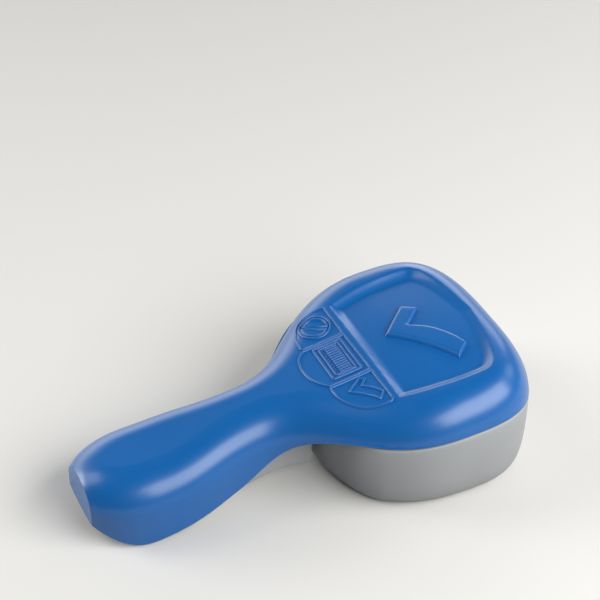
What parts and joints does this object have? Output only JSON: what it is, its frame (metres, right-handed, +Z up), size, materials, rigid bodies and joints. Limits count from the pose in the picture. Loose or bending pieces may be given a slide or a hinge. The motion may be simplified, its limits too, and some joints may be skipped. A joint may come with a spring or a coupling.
{
  "type": "toy hand scanner",
  "caption": "Toy hand scanner with a blue grip and head over a deep grey base, a sprung finger trigger under the neck, and a lamp window and cell door in its underside.",
  "frame": {"origin": "on the table, under the middle of the length and width", "axes": "+X from the grip to the front of the head, +Y across to the left of the head, +Z up"},
  "size_m": [0.165, 0.0964, 0.0479],
  "materials": {
    "blue_plastic": "smooth moulded plastic, semi-gloss",
    "grey_plastic": "moulded plastic with a fine mould grain",
    "red_window": "clear red plastic",
    "white_plastic": "plain moulded plastic",
    "black_plastic": "plain moulded plastic",
    "board_green": "lacquered board",
    "steel": "plated steel",
    "cell_sleeve": "printed film sleeve",
    "speaker_paper": "pressed paper"
  },
  "bodies": {
    "housing": {"battery_cell_1": "cell_sleeve", "battery_cell_2": "cell_sleeve", "battery_door": "grey_plastic", "capacitor": "steel", "cell_spring_1": "steel", "cell_spring_2": "steel", "circuit_board": "board_green", "contact_plate_bridge": "steel", "contact_plate_front_1": "steel", "contact_plate_front_2": "steel", "lamp": "red_window", "lamp_hood": "white_plastic", "lower_housing": "grey_plastic", "scan_window": "red_window", "sound_chip": "black_plastic", "speaker_basket": "steel", "speaker_cone": "speaker_paper", "speaker_magnet": "steel", "switch_body": "black_plastic", "trigger_pin": "steel", "trigger_spring": "steel", "upper_shell": "blue_plastic"},
    "trigger": {"trigger": "grey_plastic"},
    "plunger": {"switch_plunger": "white_plastic"}
  },
  "joints": [
    {"name": "trigger_pull", "type": "hinge", "parent": "housing", "child": "trigger", "pos_m": [-0.0353, 0, 0.0118], "axis": [0, -1, 0], "range_deg": [0, 5], "stiffness_Nm_per_rad": 0.6, "springref_deg": -3.44, "deforming": ["trigger_spring"]},
    {"name": "plunger_press", "type": "slide", "parent": "housing", "child": "plunger", "axis": [0, 0, 1], "range_m": [0, 0.0009]}
  ],
  "couplings": [
    {"joint": "plunger_press", "follows": "trigger_pull", "m_per_rad": 0.01}
  ]
}
